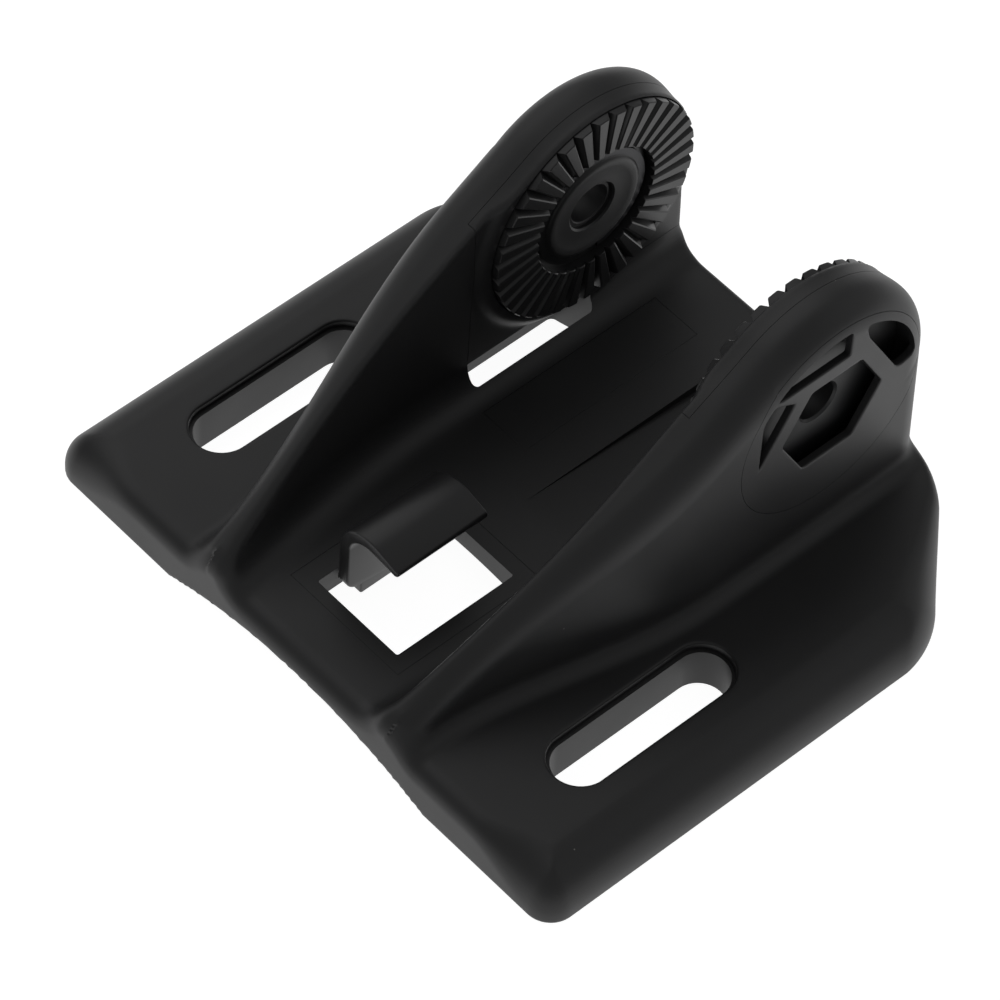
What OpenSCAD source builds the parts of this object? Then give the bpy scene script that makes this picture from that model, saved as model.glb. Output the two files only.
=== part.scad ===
// Tilt bracket base: a slotted wing plate with two ratchet ears and a cable hook.
// Millimetres. X runs across the ears, Y from the front edge to the back, Z up.
// The origin is under the middle of the plate, on the plane the wings rest on. Modules place
// things by their distance back from the front edge, and placed() moves the result.

/* [Base plate] */
// Overall width across both wings
base_w = 88; // [78:1:110]
// Front edge to back edge
base_d = 77.4; // [70:0.1:95]
// Height of the wings and of the channel floor
wing_t = 7.2; // [6:0.1:9]
// Plan radius of the two front corners
front_corner_r = 3.5; // [2:0.5:8]
// Leg of the 45 degree cut across each back corner
back_cut = 16; // [12:0.5:17]
// Plan radius where that cut meets the back and side edges
back_corner_r = 12; // [6:1:16]
// Rounding along the top edge of the plate at its front and back
edge_r = 2.5; // [1:0.1:3]
// Rounding along the top edge of the plate at its two sides
side_edge_r = 6; // [2:0.1:6.4]
// Width of the arched hollow under the plate
arch_w = 45.8; // [36:0.2:52]
// Height of the arched hollow at its middle
arch_h = 4.2; // [2:0.1:4.4]

/* [Wing slots] */
// Distance between the two slots, middle to middle
slot_spacing = 63.2; // [60:0.2:68]
// Middle of a slot, back from the front edge
slot_y = 25.4; // [20:0.2:34]
// Width of the clear slot
slot_w = 6.8; // [5:0.1:8.5]
// End to end length of the clear slot
slot_l = 26.2; // [16:0.2:32]
// Width of the ledge around the mouth of a slot
slot_rim = 0.5; // [0.1:0.1:0.8]
// Depth of that ledge
slot_rim_depth = 1.2; // [0.4:0.1:2.5]

/* [Ears] */
// Clear channel between the two ears
channel_w = 34.8; // [29:0.2:38]
// Thickness of an ear at the pivot
ear_t = 7.2; // [6.8:0.1:9]
// Pivot axis, back from the front edge
pivot_y = 60; // [54:0.5:64]
// Pivot axis, above the resting plane
pivot_z = 27.8; // [26:0.1:40]
// Radius of the arch on top of an ear
ear_r = 16.8; // [16.7:0.1:22]
// How far the arch centre lies in front of the pivot axis
ear_lead = 0.1; // [0:0.1:1]
// Clear width between the ear ridges at the front edge
front_gap = 26.6; // [24:0.2:29]
// Thickness of an ear ridge at the front edge
front_ridge_t = 5.3; // [4:0.1:7]
// Height of the ear ridge at the front edge
ridge_h = 10.9; // [9.5:0.1:13]
// Radius of the cove where an ear meets the channel floor
cove_r = 4.3; // [2:0.1:6]
// Wall left outside the slot at the foot of an ear
foot_wall = 1.5; // [1.2:0.1:4]
// Length of that slot
foot_slot_l = 19.5; // [10:0.5:24]
// How far that slot reaches into the channel
foot_slot_reach = 1.5; // [0.5:0.1:2]

/* [Ear liners] */
// Thickness of the liner plate on the inner face of an ear
liner_t = 1.4; // [1:0.1:1.8]
// Front edge of the liner, ahead of the pivot axis
liner_lead = 18; // [17:0.1:19]
// Height of the boss on the liner round the ratchet ring
boss_h = 0.9; // [0.3:0.1:1]

/* [Ratchet] */
// Number of teeth on a ratchet ring
teeth = 36; // [24:1:48]
// Outer radius of a ratchet ring
ring_r = 15.7; // [12.8:0.1:15.8]
// Radial length of the teeth
tooth_l = 6.5; // [5:0.1:6.8]
// Depth of a tooth at the outer radius
tooth_h = 1.1; // [0.6:0.1:1.5]
// Half angle of the groove between two teeth
groove_half_angle = 28; // [20:1:40]
// How far the tooth tips stand out from the ear face
ring_proud = 1.8; // [1.4:0.1:2.2]
// Overall thickness of a ratchet ring
ring_t = 2.2; // [1.9:0.1:2.6]
// Travel of a ring into its ear
ring_stroke = 1.2; // [0.6:0.1:1.3]
// Radial clearance of a ring in its pocket
pocket_clear = 0.15; // [0.1:0.05:0.3]
// Thickness of the web that guides a ring on its hub
web_t = 0.8; // [0.6:0.1:1]
// Radial clearance of that web on the hub
guide_clear = 0.08; // [0.04:0.01:0.1]
// Free depth left behind a ring at the end of its travel
end_gap = 0.2; // [0.1:0.1:0.4]
// Width of a key on the back of a ring
key_w = 3; // [2:0.1:4]
// Radial height of a key
key_h = 1.2; // [0.8:0.1:1.4]
// Length of a key
key_l = 2.0; // [1.5:0.1:2.2]
// How far a key lies inside the rim of its ring
key_inset = 0.1; // [0.1:0.1:0.3]

/* [Ratchet spring] */
// Middle of the spring strip, inside the rim of the ratchet ring
spring_inset = 3.8; // [3.2:0.1:4]
// Radial width of the spring strip
spring_strip_w = 2.4; // [1.6:0.1:2.8]
// Thickness of the spring strip
spring_strip_t = 0.35; // [0.2:0.05:0.45]
// Height of the spring in the assembly
spring_h = 2.6; // [2.4:0.1:2.8]
// Waves of the spring
spring_waves = 6; // [4:1:8]
// Length of a wave crest, where two strips meet
crest_l = 1.2; // [0.8:0.1:2]

/* [Hub] */
// Width of the open groove between the teeth and the hub
hub_groove_w = 1.7; // [1.5:0.1:2.2]
// How far the hub face stands out from the ear face
hub_proud = 1.3; // [1.1:0.1:1.7]
// How far the hub's flange overlaps the ear wall
hub_flange_lip = 2.1; // [1.5:0.1:3]
// Thickness of that flange
hub_flange_t = 1.0; // [0.6:0.1:1.2]
// Radius of the pivot bore
bore_r = 2.75; // [2:0.05:3]
// Radius of the step at the mouth of the bore
bore_mouth_r = 3.4; // [3.2:0.1:4.5]
// Depth of that step
bore_mouth_depth = 0.9; // [0.5:0.1:1.5]
// How far the retaining ring stands out from the hub
snap_lip = 1; // [0.7:0.1:1.3]
// Thickness of the retaining ring
snap_t = 0.5; // [0.3:0.05:0.6]
// Depth of its groove in the hub
snap_groove = 0.6; // [0.4:0.1:1]
// Gap between the free ends of the retaining ring
snap_gap = 3; // [2:0.5:5]

/* [Side caps] */
// Radius of a side cap
cap_r = 14.4; // [13:0.1:15]
// Thickness of a side cap
cap_t = 1; // [0.8:0.1:1.6]
// Radius of the hollow behind the cap
hollow_r = 13.5; // [12:0.1:14]
// Depth of the hollow behind the cap
hollow_depth = 2.4; // [1.6:0.1:2.6]
// Corner radius of the middle window, a hexagon
cell_r = 7.9; // [6:0.1:8.5]
// Width of the webs between the windows
web_w = 2.4; // [1.5:0.1:3]
// Width of the rim outside the side windows
rim_w = 1.1; // [0.9:0.1:2]
// Middle of the web between the top and back windows, behind the pivot axis
back_web_y = 3; // [2:0.1:4]
// Width that the rim gains at the front end of the front window
front_trim = 1.8; // [1:0.1:3]

/* [Cable window and hook] */
// Width of the insert around the cable window
insert_w = 18.9; // [17:0.1:22]
// Front edge of the insert
insert_y = 7.5; // [5:0.1:10]
// Length of the insert
insert_l = 22; // [21:0.1:26]
// Thickness of the insert
insert_t = 2; // [1.5:0.1:2.4]
// Left edge of the window, measured from the middle plane
window_left = 6.7; // [6:0.1:8]
// Right edge of the window, measured from the middle plane
window_right = 7.3; // [6:0.1:8]
// Front edge of the window
window_y = 9.3; // [8.5:0.1:11]
// Length of the window
window_l = 18.1; // [17:0.1:19]
// Sheet thickness of the hook
hook_t = 1.7; // [1.2:0.1:2.2]
// Length of the hook along the channel
hook_l = 14; // [10:0.5:15]
// Front edge of the hook
hook_y = 11.5; // [10:0.5:12.5]
// Outer face of the hook's leg, measured from the middle plane
hook_leg = 5.7; // [5.3:0.1:6]
// Height of the top of the hook
hook_top = 18.9; // [16:0.1:22]
// Outer radius of the hook's bend
hook_bend_r = 5.3; // [4:0.1:5.6]
// Downward slope of the hook's free flap, degrees
hook_flap_slope = 15; // [5:1:25]
// Reach of the hook's free edge past the middle plane
hook_reach = 4.5; // [2:0.1:6]
// Clearance between the foot of the hook and the resting plane
hook_foot_z = 3.8; // [3:0.1:4.5]
// Width of the tongue that locks the hook under the insert
tongue_w = 1.4; // [1:0.1:1.8]
// Thickness of that tongue
tongue_t = 1; // [0.6:0.1:1.2]
// Length of the hook's front end that has no tongue
tongue_lead = 1; // [0.5:0.1:2]

/* [Channel floor] */
// Start of the sunk cable run, back from the front edge
run_y = 36; // [34:0.5:44]
// Width of the cable run
run_w = 9; // [6:0.5:10]
// Depth of the cable run at the back edge
run_depth = 1.8; // [1:0.1:2]
// Width of the floor pad
pad_w = 7.5; // [4:0.1:8]
// Floor left between the pad and the slot at the foot of the ear
pad_margin = 2.7; // [2.5:0.1:4]
// Front edge of the floor pad
pad_y = 41; // [38:0.5:44]
// Length of the floor pad
pad_l = 28; // [16:1:30]
// Thickness of the floor pad
pad_t = 1; // [0.6:0.1:1.2]

/* [Hidden] */
$fn = 96;

eps = 0.01;
over = 1;
tall = 100;

// Face lines of an ear: [back from the front edge, inset from the ear's own face]
inner_flare = [[7, 2.6], [20, 1.1], [32, 0]];
outer_flare = [[12, 5.4], [22, 3.6], [34, 0.6], [44, 0]];

// Planes of the right ear, as distances from the middle plane
ear_in = channel_w / 2;
ear_out = ear_in + ear_t;
liner_out = ear_in + liner_t;
tip_x = ear_in - ring_proud;
ring_back = tip_x + ring_t;
pocket_floor = ring_back + ring_stroke + end_gap;
pocket_r = ring_r + pocket_clear;
spring_floor = ring_back + spring_h;
cap_back = ear_out - cap_t;
hollow_floor = cap_back - hollow_depth;
hub_face = ear_in - hub_proud;

// Radii of the ratchet, from the rim of the ring inwards
teeth_inner_r = ring_r - tooth_l;
hub_r = teeth_inner_r - hub_groove_w;
hub_flange_r = hub_r + hub_flange_lip;
snap_r = hub_r + snap_lip;
spring_mean_r = ring_r - spring_inset;
web_front = ring_back - web_t;
snap_front = web_front - snap_t;
spring_inner_r = spring_mean_r - spring_strip_w / 2;
spring_outer_r = spring_mean_r + spring_strip_w / 2;
spring_clear = 0.3;
key_outer_r = ring_r - key_inset;
key_clear = 0.1;
crest_inset = 0.3;

// Side profile of an ear: arch centre, the ridge that runs onto the arch, and the back
arch_y = pivot_y - ear_lead;
arch_z = pivot_z;
ridge_flat = edge_r;
ridge_slope = atan2(arch_z - ridge_h, arch_y - ridge_flat)
    + asin(ear_r / norm([arch_y - ridge_flat, arch_z - ridge_h]));
top_y = arch_y - ear_r * sin(ridge_slope);
top_z = arch_z + ear_r * cos(ridge_slope);
back_dist = norm([base_d - arch_y, wing_t - arch_z]);
back_angle = atan2(wing_t - arch_z, base_d - arch_y) + acos(ear_r / back_dist);
liner_foot = wing_t + cove_r;
liner_front = pivot_y - liner_lead;

// The side rounding leaves a little upright wall under it
side_round = min(side_edge_r, wing_t - 0.6);

// Arched hollow under the plate
arch_r = (pow(arch_w / 2, 2) + pow(arch_h, 2)) / (2 * arch_h);

// The slot at the foot of an ear starts level with the liner and cuts up to it
foot_slot_x = ear_in - foot_slot_reach;
foot_slot_w = ear_out - foot_wall - foot_slot_x;

// Side windows of a cap: the sill under the back one, and the web between the front and top ones
window_r = cap_r - rim_w;
sill_angle = 105;
front_web_angle = 240;

// Floor pad and hook foot
pad_right = foot_slot_x - pad_margin;
tongue_y = hook_y + tongue_lead;

// Hook bend
bend_x = hook_bend_r - hook_leg;
bend_z = hook_top - hook_bend_r;
flap_angle = 90 - hook_flap_slope;
flap_start = bend_x + hook_bend_r * cos(flap_angle);
flap_l = (hook_reach - flap_start) / cos(hook_flap_slope);

plastic = [0.045, 0.045, 0.048];
dark = [0.03, 0.03, 0.032];
steel = [0.55, 0.56, 0.58];

// ---- placing ----

// Local x, y, z become Y, Z, X of the part, at distance x from the middle plane
module side_on(x) { translate([x, 0, 0]) rotate([90, 0, 90]) children(); }

// The same, centred on the pivot axis
module at_pivot(x) { translate([x, pivot_y, pivot_z]) rotate([90, 0, 90]) children(); }

module left() { mirror([1, 0, 0]) children(); }

module both() { children(); left() children(); }

// From distances behind the front edge to the part's own origin
module placed() { translate([0, -base_d / 2, 0]) children(); }

// Disc or ring across the pivot axis, between two distances from the middle plane
module pivot_disc(x0, x1, r) { at_pivot(x0) cylinder(r = r, h = x1 - x0); }

module pivot_ring(x0, x1, r0, r1) {
    difference() {
        pivot_disc(x0, x1, r1);
        pivot_disc(x0 - over, x1 + over, r0);
    }
}

// ---- base plate ----

// Two upright rounds, at a distance in from the sides and back from the front edge
module corner_pair(r, inset, y) {
    for (side = [-1, 1])
        translate([side * (base_w / 2 - inset), y, -over]) cylinder(r = r, h = tall);
}

// Everything inside the plan outline of the plate
module plan_prism() {
    half = base_w / 2;
    run = back_corner_r * tan(22.5);
    step = back_corner_r * (1 - cos(45));
    side = [
        [half - front_corner_r, 0], [half, front_corner_r], [half, base_d - back_cut - run],
        [half - step, base_d - back_cut - run + back_corner_r * sin(45)],
        [half - back_cut - run + back_corner_r * sin(45), base_d - step],
        [half - back_cut - run, base_d]
    ];
    corner_pair(front_corner_r, front_corner_r, front_corner_r);
    corner_pair(back_corner_r, back_corner_r, base_d - back_cut - run);
    corner_pair(back_corner_r, back_cut + run, base_d - back_corner_r);
    translate([0, 0, -over]) linear_extrude(height = tall) polygon(concat(
        side, [for (i = [len(side) - 1 : -1 : 0]) [-side[i][0], side[i][1]]]
    ));
}

// Slab section of a given length with its two top edges rounded
module slab_section(l, r) {
    translate([-l / 2 + r, 0]) square([l - 2 * r, wing_t]);
    translate([-l / 2, 0]) square([l, wing_t - r]);
    for (side = [-1, 1]) translate([side * (l / 2 - r), wing_t - r]) circle(r = r);
}

module plate() {
    intersection() {
        plan_prism();
        translate([0, base_d + over, 0]) rotate([90, 0, 0])
            linear_extrude(height = base_d + 2 * over) slab_section(base_w, side_round);
        translate([-base_w / 2, base_d / 2, 0]) rotate([90, 0, 90])
            linear_extrude(height = base_w) slab_section(base_d, edge_r);
    }
}

module under_arch() {
    translate([0, -over, arch_h - arch_r]) rotate([-90, 0, 0])
        cylinder(r = arch_r, h = base_d + 2 * over, $fn = 256);
}

module stadium(l, w, z0, z1) {
    translate([0, 0, z0]) linear_extrude(height = z1 - z0) {
        square([w, l - w], center = true);
        for (end = [-1, 1]) translate([0, end * (l - w) / 2]) circle(d = w);
    }
}

module wing_slot() {
    translate([slot_spacing / 2, slot_y, 0]) {
        stadium(slot_l, slot_w, -over, wing_t + over);
        stadium(slot_l + 2 * slot_rim, slot_w + 2 * slot_rim, wing_t - slot_rim_depth, wing_t + over);
    }
}

// ---- ears ----

module ear_side_outline() {
    polygon([
        [0, arch_h], [0, ridge_h - edge_r], [edge_r, ridge_h - edge_r], [ridge_flat, ridge_h],
        [top_y, top_z],
        [arch_y, arch_z],
        [arch_y + ear_r * cos(back_angle), arch_z + ear_r * sin(back_angle)],
        [base_d, wing_t], [base_d, arch_h]
    ]);
}

module ear_profile_prism(x0, x1) {
    side_on(x0) linear_extrude(height = x1 - x0) ear_side_outline();
    side_on(x0) translate([arch_y, arch_z, 0]) cylinder(r = ear_r, h = x1 - x0);
    side_on(x0) translate([edge_r, ridge_h - edge_r, 0]) cylinder(r = edge_r, h = x1 - x0);
}

// Footprint of the right ear: it widens from the front ridge to the pivot
module ear_plan() {
    polygon(concat(
        [[front_gap / 2, 0]], [for (p = inner_flare) [ear_in - p[1], p[0]]],
        [[ear_in, base_d], [ear_out, base_d]],
        [for (i = [len(outer_flare) - 1 : -1 : 0]) [ear_out - outer_flare[i][1], outer_flare[i][0]]],
        [[front_gap / 2 + front_ridge_t, 0]]
    ));
}

module ear_blank() {
    intersection() {
        plan_prism();
        linear_extrude(height = tall) ear_plan();
        ear_profile_prism(0, ear_out + over);
    }
}

// Fillet between the channel floor and the inner face of the ear
module ear_cove() {
    difference() {
        translate([ear_in - cove_r, 0, wing_t - eps]) cube([cove_r + eps, base_d, cove_r]);
        translate([ear_in - cove_r, -over, wing_t + cove_r]) rotate([-90, 0, 0])
            cylinder(r = cove_r, h = base_d + 2 * over);
    }
}

module foot_slot() {
    translate([foot_slot_x, liner_front, -over])
        cube([foot_slot_w, foot_slot_l, liner_foot + over]);
}

module liner_seat() {
    translate([ear_in - over, liner_front, liner_foot]) cube([liner_t + over, tall, tall]);
}

// ---- pockets of the right ear, from the inner face outwards ----

module key(l, grow) {
    for (turn = [0, 180])
        at_pivot(ring_back - eps) rotate(turn)
            translate([-key_w / 2 - grow, key_outer_r - key_h - grow, 0])
                cube([key_w + 2 * grow, key_h + 2 * grow, l + eps]);
}

module ear_pockets() {
    pivot_disc(ear_in - over, pocket_floor, pocket_r);
    pivot_ring(pocket_floor - eps, spring_floor, spring_inner_r - spring_clear,
        spring_outer_r + spring_clear);
    key(key_l + ring_stroke + end_gap, key_clear);
    pivot_disc(pocket_floor - over, hollow_floor + over, hub_r);
    pivot_disc(hollow_floor, cap_back + over, hollow_r);
    pivot_disc(cap_back, ear_out + over, cap_r);
}

// ---- nodes ----

module base_body() {
    color(plastic) difference() {
        union() {
            plate();
            both() ear_blank();
            both() intersection() {
                ear_cove();
                ear_profile_prism(0, ear_out);
            }
        }
        under_arch();
        both() wing_slot();
        both() foot_slot();
        both() liner_seat();
        both() ear_pockets();
        insert_seat();
        window_cut();
        cable_run();
        pad_block(eps);
    }
}

module ear_liner() {
    color(plastic) difference() {
        intersection() {
            union() {
                ear_profile_prism(ear_in, liner_out);
                side_on(ear_in - boss_h) translate([arch_y, arch_z, 0])
                    cylinder(r = ear_r, h = boss_h + liner_t);
            }
            translate([0, liner_front, liner_foot]) cube(tall);
        }
        pivot_disc(ear_in - boss_h - over, liner_out + over, pocket_r);
    }
}

// One V groove: its bottom line falls away from the ring's middle, so teeth widen outwards
module tooth_groove() {
    rise = 2;
    half = (rise + tooth_h) * tan(groove_half_angle);
    rotate([0, -atan(tooth_h / ring_r), 0]) rotate([90, 0, 90])
        linear_extrude(height = ring_r + over)
            polygon([[0, 0], [half, -rise - tooth_h], [-half, -rise - tooth_h]]);
}

module ratchet_ring() {
    color(plastic) union() {
        difference() {
            pivot_ring(tip_x, ring_back, teeth_inner_r, ring_r);
            at_pivot(tip_x) for (i = [0 : teeth - 1]) rotate(i * 360 / teeth) tooth_groove();
        }
        pivot_ring(web_front, ring_back, hub_r + guide_clear, teeth_inner_r + eps);
        key(key_l, 0);
    }
}

// Crest to crest wave spring: two flat end strips joined by pads at the crests
module ratchet_spring() {
    color(steel) {
        for (x = [ring_back, spring_floor - spring_strip_t])
            pivot_ring(x, x + spring_strip_t, spring_inner_r, spring_outer_r);
        for (i = [0 : spring_waves - 1])
            at_pivot(ring_back + spring_strip_t - eps) rotate(i * 360 / spring_waves)
                translate([spring_inner_r + crest_inset, -crest_l / 2, 0])
                    cube([spring_strip_w - 2 * crest_inset, crest_l,
                        spring_h - 2 * spring_strip_t + 2 * eps]);
    }
}

module hub() {
    color(dark) difference() {
        union() {
            pivot_disc(hub_face, hollow_floor + eps, hub_r);
            pivot_disc(hollow_floor, hollow_floor + hub_flange_t, hub_flange_r);
        }
        pivot_disc(hub_face - over, hub_face + bore_mouth_depth, bore_mouth_r);
        pivot_disc(hub_face - over, hollow_floor + hub_flange_t + over, bore_r);
        pivot_ring(snap_front, web_front, hub_r - snap_groove, hub_r + over);
    }
}

module snap_ring() {
    color(steel) difference() {
        pivot_ring(snap_front, web_front, hub_r - snap_groove, snap_r);
        at_pivot(snap_front - over) translate([-snap_gap / 2, -snap_r - over, 0])
            cube([snap_gap, snap_r, snap_t + 2 * over]);
    }
}

// Half plane across the pivot axis: points whose distance along a direction is at least d
module half_plane(angle, d) { rotate(angle) translate([d, -tall / 2]) square(tall); }

// Hexagon in the middle, and three side windows parted by webs that leave its upper corners
module cap_windows() {
    flat = cell_r * cos(30) + web_w;
    circle(r = cell_r, $fn = 6);
    intersection() {
        circle(r = window_r);
        half_plane(30, flat);
        half_plane(0, back_web_y + web_w / 2);
        half_plane(sill_angle, -web_w);
    }
    intersection() {
        circle(r = window_r);
        half_plane(90, flat);
        half_plane(180, web_w / 2 - back_web_y);
    }
    intersection() {
        circle(r = window_r);
        half_plane(150, flat);
        half_plane(front_web_angle, web_w / 2 - cell_r / 2);
        half_plane(0, front_trim - window_r);
    }
}

module side_cap() {
    color(plastic) difference() {
        pivot_disc(cap_back, ear_out, cap_r);
        at_pivot(cap_back - over) linear_extrude(height = cap_t + 2 * over) cap_windows();
    }
}

// ---- cable window, hook, run and pad ----

module window_cut() {
    translate([-window_left, window_y, -over])
        cube([window_left + window_right, window_l, tall]);
}

module insert_block(z0, z1) {
    translate([-insert_w / 2, insert_y, z0]) cube([insert_w, insert_l, z1 - z0]);
}

module insert_seat() { insert_block(wing_t - insert_t, wing_t + over); }

module hook_tongue(extra) {
    translate([-window_left - tongue_w - extra, tongue_y, wing_t - insert_t - extra])
        cube([tongue_w + over + extra, hook_l - tongue_lead, tongue_t + extra]);
}

module window_insert() {
    color(plastic) difference() {
        insert_block(wing_t - insert_t, wing_t);
        window_cut();
        hook_tongue(eps);
    }
}

// Section of the hook across the channel: leg, bend and free flap
module hook_section() {
    translate([-hook_leg, hook_foot_z]) square([hook_t, bend_z - hook_foot_z + eps]);
    intersection() {
        translate([bend_x, bend_z]) difference() {
            circle(r = hook_bend_r);
            circle(r = hook_bend_r - hook_t);
        }
        translate([bend_x, bend_z]) union() {
            translate([-hook_bend_r - over, 0]) square([hook_bend_r + over, hook_bend_r + over]);
            rotate(flap_angle) translate([0, -eps]) square(hook_bend_r + over);
        }
    }
    translate([bend_x, bend_z]) rotate(flap_angle - 90)
        translate([-eps, hook_bend_r - hook_t]) square([flap_l, hook_t]);
}

module cable_hook() {
    color(plastic) {
        translate([0, hook_y + hook_l, 0]) rotate([90, 0, 0])
            linear_extrude(height = hook_l) hook_section();
        translate([-window_left, tongue_y, hook_foot_z])
            cube([window_left - hook_leg + eps, hook_l - tongue_lead, wing_t - hook_foot_z]);
        hook_tongue(0);
    }
}

// Sunk run for a cable: its floor falls from the channel floor towards the back edge
module cable_run() {
    run_l = base_d - run_y;
    side_on(0) linear_extrude(height = run_w) polygon([
        [run_y, wing_t], [run_y, wing_t + over], [base_d + over, wing_t + over],
        [base_d + over, wing_t - run_depth * (run_l + over) / run_l]
    ]);
}

module pad_block(extra) {
    translate([-pad_right, pad_y, wing_t - pad_t]) cube([pad_w, pad_l, pad_t + extra]);
}

module floor_pad() { color(plastic) pad_block(0); }

placed() base_body();
placed() left() ear_liner();  // left_ear_liner
placed() ear_liner();  // right_ear_liner
placed() left() ratchet_ring();  // left_ratchet_ring
placed() ratchet_ring();  // right_ratchet_ring
placed() left() ratchet_spring();  // left_ratchet_spring
placed() ratchet_spring();  // right_ratchet_spring
placed() left() hub();  // left_hub
placed() hub();  // right_hub
placed() left() snap_ring();  // left_snap_ring
placed() snap_ring();  // right_snap_ring
placed() left() side_cap();  // left_side_cap
placed() side_cap();  // right_side_cap
placed() window_insert();
placed() cable_hook();
placed() floor_pad();
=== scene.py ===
"""Looks of the tilt bracket base: body, ear liners, caps, ratchet rings, hubs, hook, insert and pad."""
import math

import bpy
import numpy as np
from mathutils import Matrix, Vector


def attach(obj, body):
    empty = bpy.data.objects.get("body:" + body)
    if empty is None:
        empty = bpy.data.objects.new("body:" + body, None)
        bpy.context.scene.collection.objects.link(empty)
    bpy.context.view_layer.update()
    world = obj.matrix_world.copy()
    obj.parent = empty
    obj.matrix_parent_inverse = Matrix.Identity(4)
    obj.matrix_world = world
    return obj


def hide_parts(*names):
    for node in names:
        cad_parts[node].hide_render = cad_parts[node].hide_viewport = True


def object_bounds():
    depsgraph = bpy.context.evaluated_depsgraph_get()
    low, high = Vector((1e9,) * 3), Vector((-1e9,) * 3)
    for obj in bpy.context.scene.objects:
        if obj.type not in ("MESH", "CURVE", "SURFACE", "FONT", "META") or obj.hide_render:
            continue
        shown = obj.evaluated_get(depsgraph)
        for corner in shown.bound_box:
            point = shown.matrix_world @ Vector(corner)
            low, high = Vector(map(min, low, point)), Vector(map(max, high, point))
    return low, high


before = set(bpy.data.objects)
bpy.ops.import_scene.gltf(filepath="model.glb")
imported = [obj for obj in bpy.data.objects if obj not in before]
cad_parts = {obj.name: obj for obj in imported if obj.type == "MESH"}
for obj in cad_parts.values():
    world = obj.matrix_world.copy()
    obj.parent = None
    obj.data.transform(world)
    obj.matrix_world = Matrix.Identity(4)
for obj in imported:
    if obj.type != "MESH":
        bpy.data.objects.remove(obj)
cad_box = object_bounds()

# Sizes are in millimetres, x across the ears, y back from the front edge, z up.
MM = 0.001
FRONT = cad_box[0][1] / MM
BASE_W = (cad_box[1][0] - cad_box[0][0]) / MM
BASE_D = (cad_box[1][1] - cad_box[0][1]) / MM
WING_T = 7.2
FRONT_CORNER_R = 3.5
BACK_CUT, BACK_CORNER_R = 16, 3.5
EDGE_R, SIDE_EDGE_R, BACK_EDGE_R, UPPER_EDGE_R = 2.5, 6.0, 1, 0.2
SIDE_EDGE_X, SIDE_EDGE_RUN, BACK_EDGE_RUN = 30, 10, 8
SOLE_EDGE_R = 0.5
ARCH_W, ARCH_H = 45.8, 4.2
SLOT_X, SLOT_Y, SLOT_W, SLOT_L = 31.6, 25.4, 6.8, 26.2
SLOT_RIM, SLOT_RIM_DEPTH, SLOT_LIP_R = 0.5, 1.2, 0.3

EAR_IN, EAR_OUT = 17.4, 24.6
PIVOT_Y, PIVOT_Z = 60, 27.8
EAR_R = 16.6
EAR_Y, EAR_Z = PIVOT_Y - 0.1, PIVOT_Z - 0.2
CROWN, CROWN_X, CROWN_WIDTH, CROWN_LEAD = 0.35, 20.6, 3.5, 6
BOSS_H, BOSS_FLANK = 0.9, 2
RIDGE_H = 10.9
RIDGE_SLOPE = (math.atan2(EAR_Z - RIDGE_H, EAR_Y - EDGE_R)
               + math.asin(EAR_R / math.hypot(EAR_Y - EDGE_R, EAR_Z - RIDGE_H)))
FRONT_IN, FRONT_OUT = 13.3, 18.6
FLARE_IN_END, FLARE_IN_POWER = 33, 1.6
FLARE_OUT_START, FLARE_OUT_LENGTH = 4, 38.5
INNER_EDGE_R, INNER_EDGE_FRONT = 0.5, 1.4
COVE_R, FOOT_R = 4.3, 2.4
SHOULDER_FRONT, SHOULDER_R = 3.0, 4.0

LINER_OUT = 18.8
LINER_FRONT = PIVOT_Y - 18
LINER_FOOT = WING_T + COVE_R
FOOT_SLOT = (15.9, 23.1, LINER_FRONT, 61.5)

RING_TIP, RING_BACK = 15.6, 17.8
RING_R, TEETH_IN_R, RING_BORE_R = 15.7, 9.2, 7.58
TEETH, TOOTH_H, GROOVE_HALF = 36, 1.1, math.radians(28)
TOOTH_SOFT, WELD = 0.1, 0.00001
KEY_W, KEY_H, KEY_L, KEY_INSET = 3, 1.2, 2, 0.1
WEB_X = 17.0
POCKET_R, POCKET_FLOOR = 15.85, 19.2
SPRING_IN_R, SPRING_OUT_R, SPRING_FLOOR = 10.4, 13.4, 20.4
HUB_R, HUB_X, FLANGE_R, FLANGE_X, FLANGE_T = 7.5, 16.1, 9.6, 21.2, 1.0
BORE_R, MOUTH_R, MOUTH_DEPTH = 2.75, 3.4, 0.9
DISH, HUB_RIM_R = 0.35, 0.7
SNAP_X, SNAP_GROOVE_R = 16.5, 6.9

CAP_R, CAP_X = 14.4, 23.6
HOLLOW_R = 13.5
CELL_R, WEB_W, WINDOW_R, WINDOW_EDGE_R = 7.9, 2.4, 13.3, 0.22
BACK_WEB_Y, SILL_ANGLE, FRONT_WEB_ANGLE, FRONT_TRIM = 3, 105, 240, 1.8

INSERT_X, INSERT_Y0, INSERT_Y1, INSERT_T = 9.45, 7.5, 29.5, 2.0
WINDOW, WINDOW_CORNER_R = (-6.7, 7.3, 9.3, 27.4), 0.3
HOOK_Y0, HOOK_Y1, HOOK_T = 11.5, 25.5, 1.7
HOOK_LEG, HOOK_FOOT, HOOK_TOP, HOOK_BEND_R = 5.7, 3.8, 18.9, 5.3
HOOK_TIP, HOOK_SLOPE, HOOK_LIP_R, HOOK_CORNER_R = 4.5, math.radians(15), 0.6, 2.2
HOOK_EDGE_R, HOOK_DROP = 0.28, 1.6
TONGUE_X, TONGUE_T = -8.1, 1
RUN_Y, RUN_W, RUN_DEPTH = 36, 9, 1.8
PAD = (-13.2, -5.7, 41, 69)
PAD_T = 1.0

# Gap round the flush plates of the floor, and round the liners and caps
SEAM, LINE = 0.02, 0.06
PLATE_EDGE = 0.04


# ---- camera ----

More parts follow.
